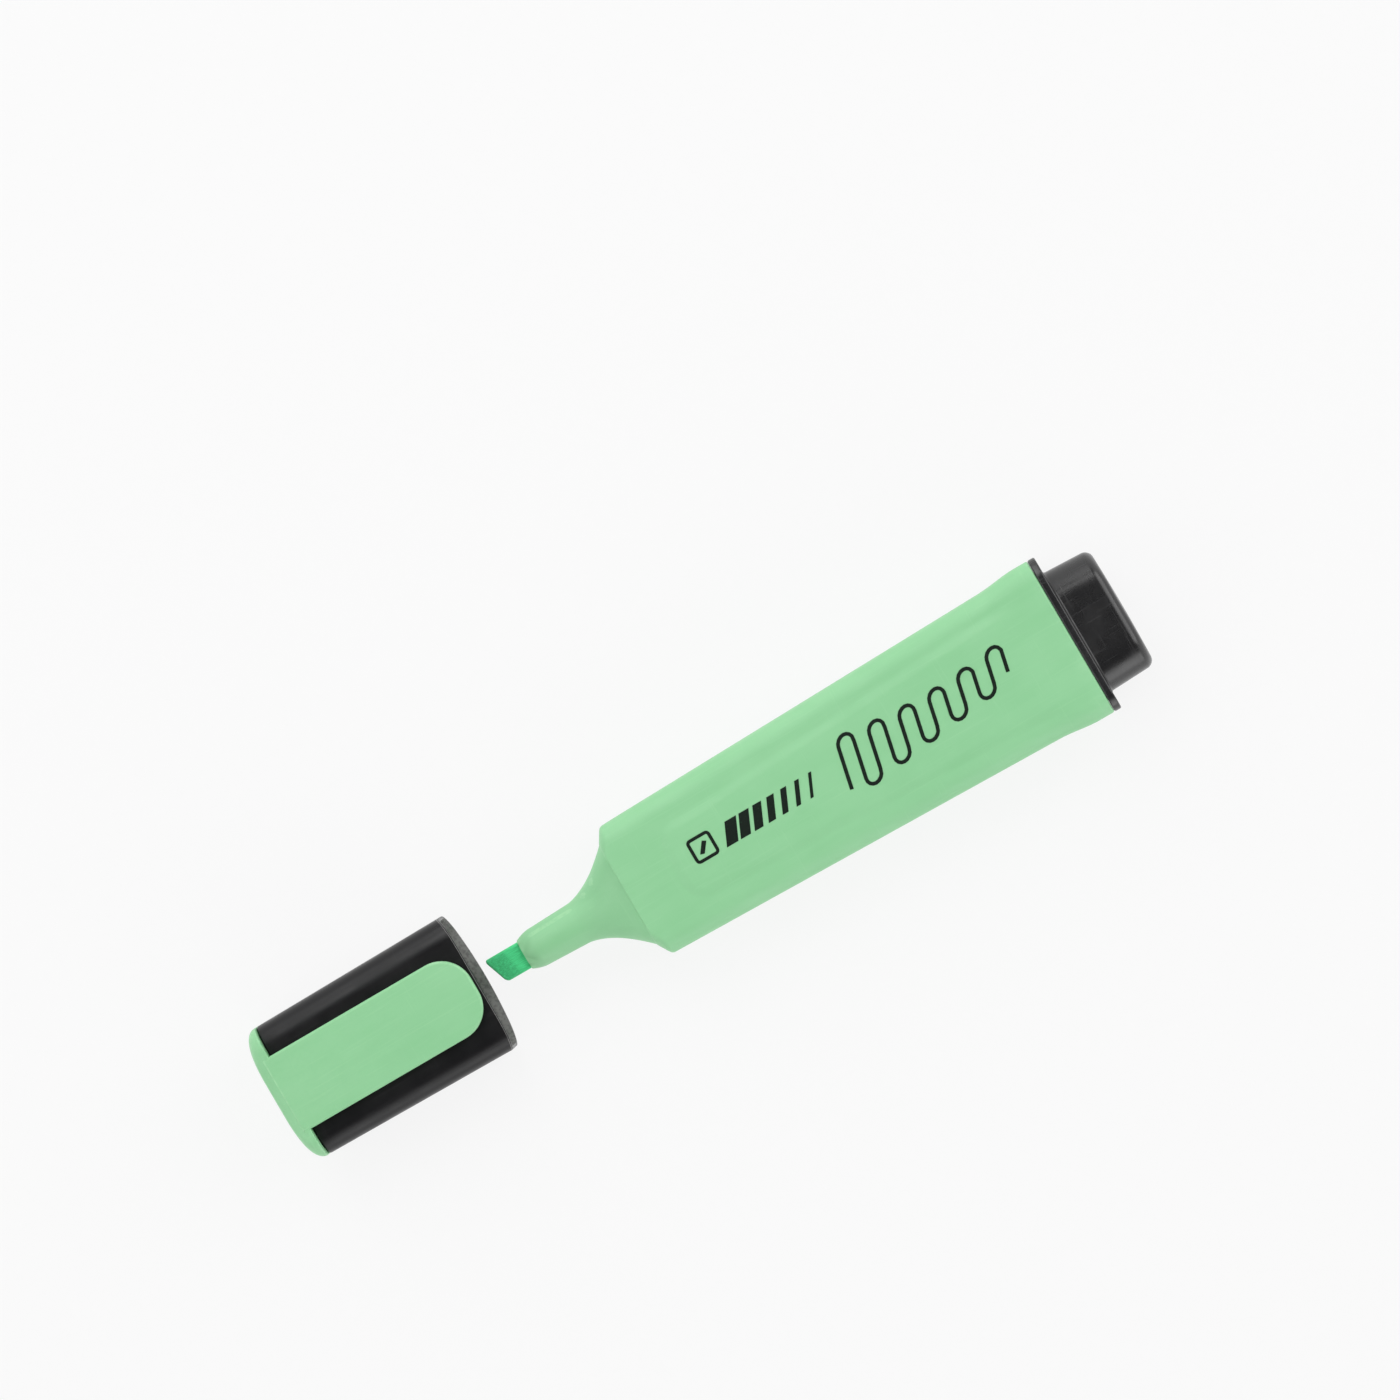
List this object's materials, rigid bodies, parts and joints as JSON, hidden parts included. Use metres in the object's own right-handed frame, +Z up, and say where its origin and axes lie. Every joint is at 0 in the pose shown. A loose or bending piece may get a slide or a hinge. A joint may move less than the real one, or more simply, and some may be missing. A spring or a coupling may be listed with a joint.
{
  "type": "highlighter",
  "caption": "Flat chisel-tip highlighter with a slanted nib, bell-shaped nozzle, end plug with a post, and a slide-on cap with a broad clip, shown pulled off.",
  "frame": {"origin": "on the resting surface, under the middle of the whole object as it lies with its cap pulled off", "axes": "+X runs from the cap's closed end to the end of the rear post, +Y lies across the wide face, +Z is up, on the clip side"},
  "size_m": [0.1466, 0.026, 0.0177],
  "materials": {
    "barrel": "pastel green moulded plastic, satin",
    "nib": "pressed polyester fibre soaked with green ink",
    "wadding": "bundled fibre soaked with ink",
    "film": "thin clear wrapping film",
    "plug": "black moulded plastic, semi-gloss",
    "sleeve": "black moulded plastic, satin",
    "clip": "pastel green moulded plastic, satin",
    "liner": "natural polyethylene"
  },
  "bodies": {
    "pen": {"barrel": "barrel", "nib": "nib", "reservoir_core": "wadding", "reservoir_film": "film", "end_plug": "plug"},
    "cap": {"cap_sleeve": "sleeve", "clip_cover": "clip", "inner_cap": "liner"}
  },
  "joints": [
    {"name": "cap_slide", "type": "slide", "parent": "pen", "child": "cap", "axis": [1, 0, 0], "range_m": [0, 0.0255]}
  ]
}
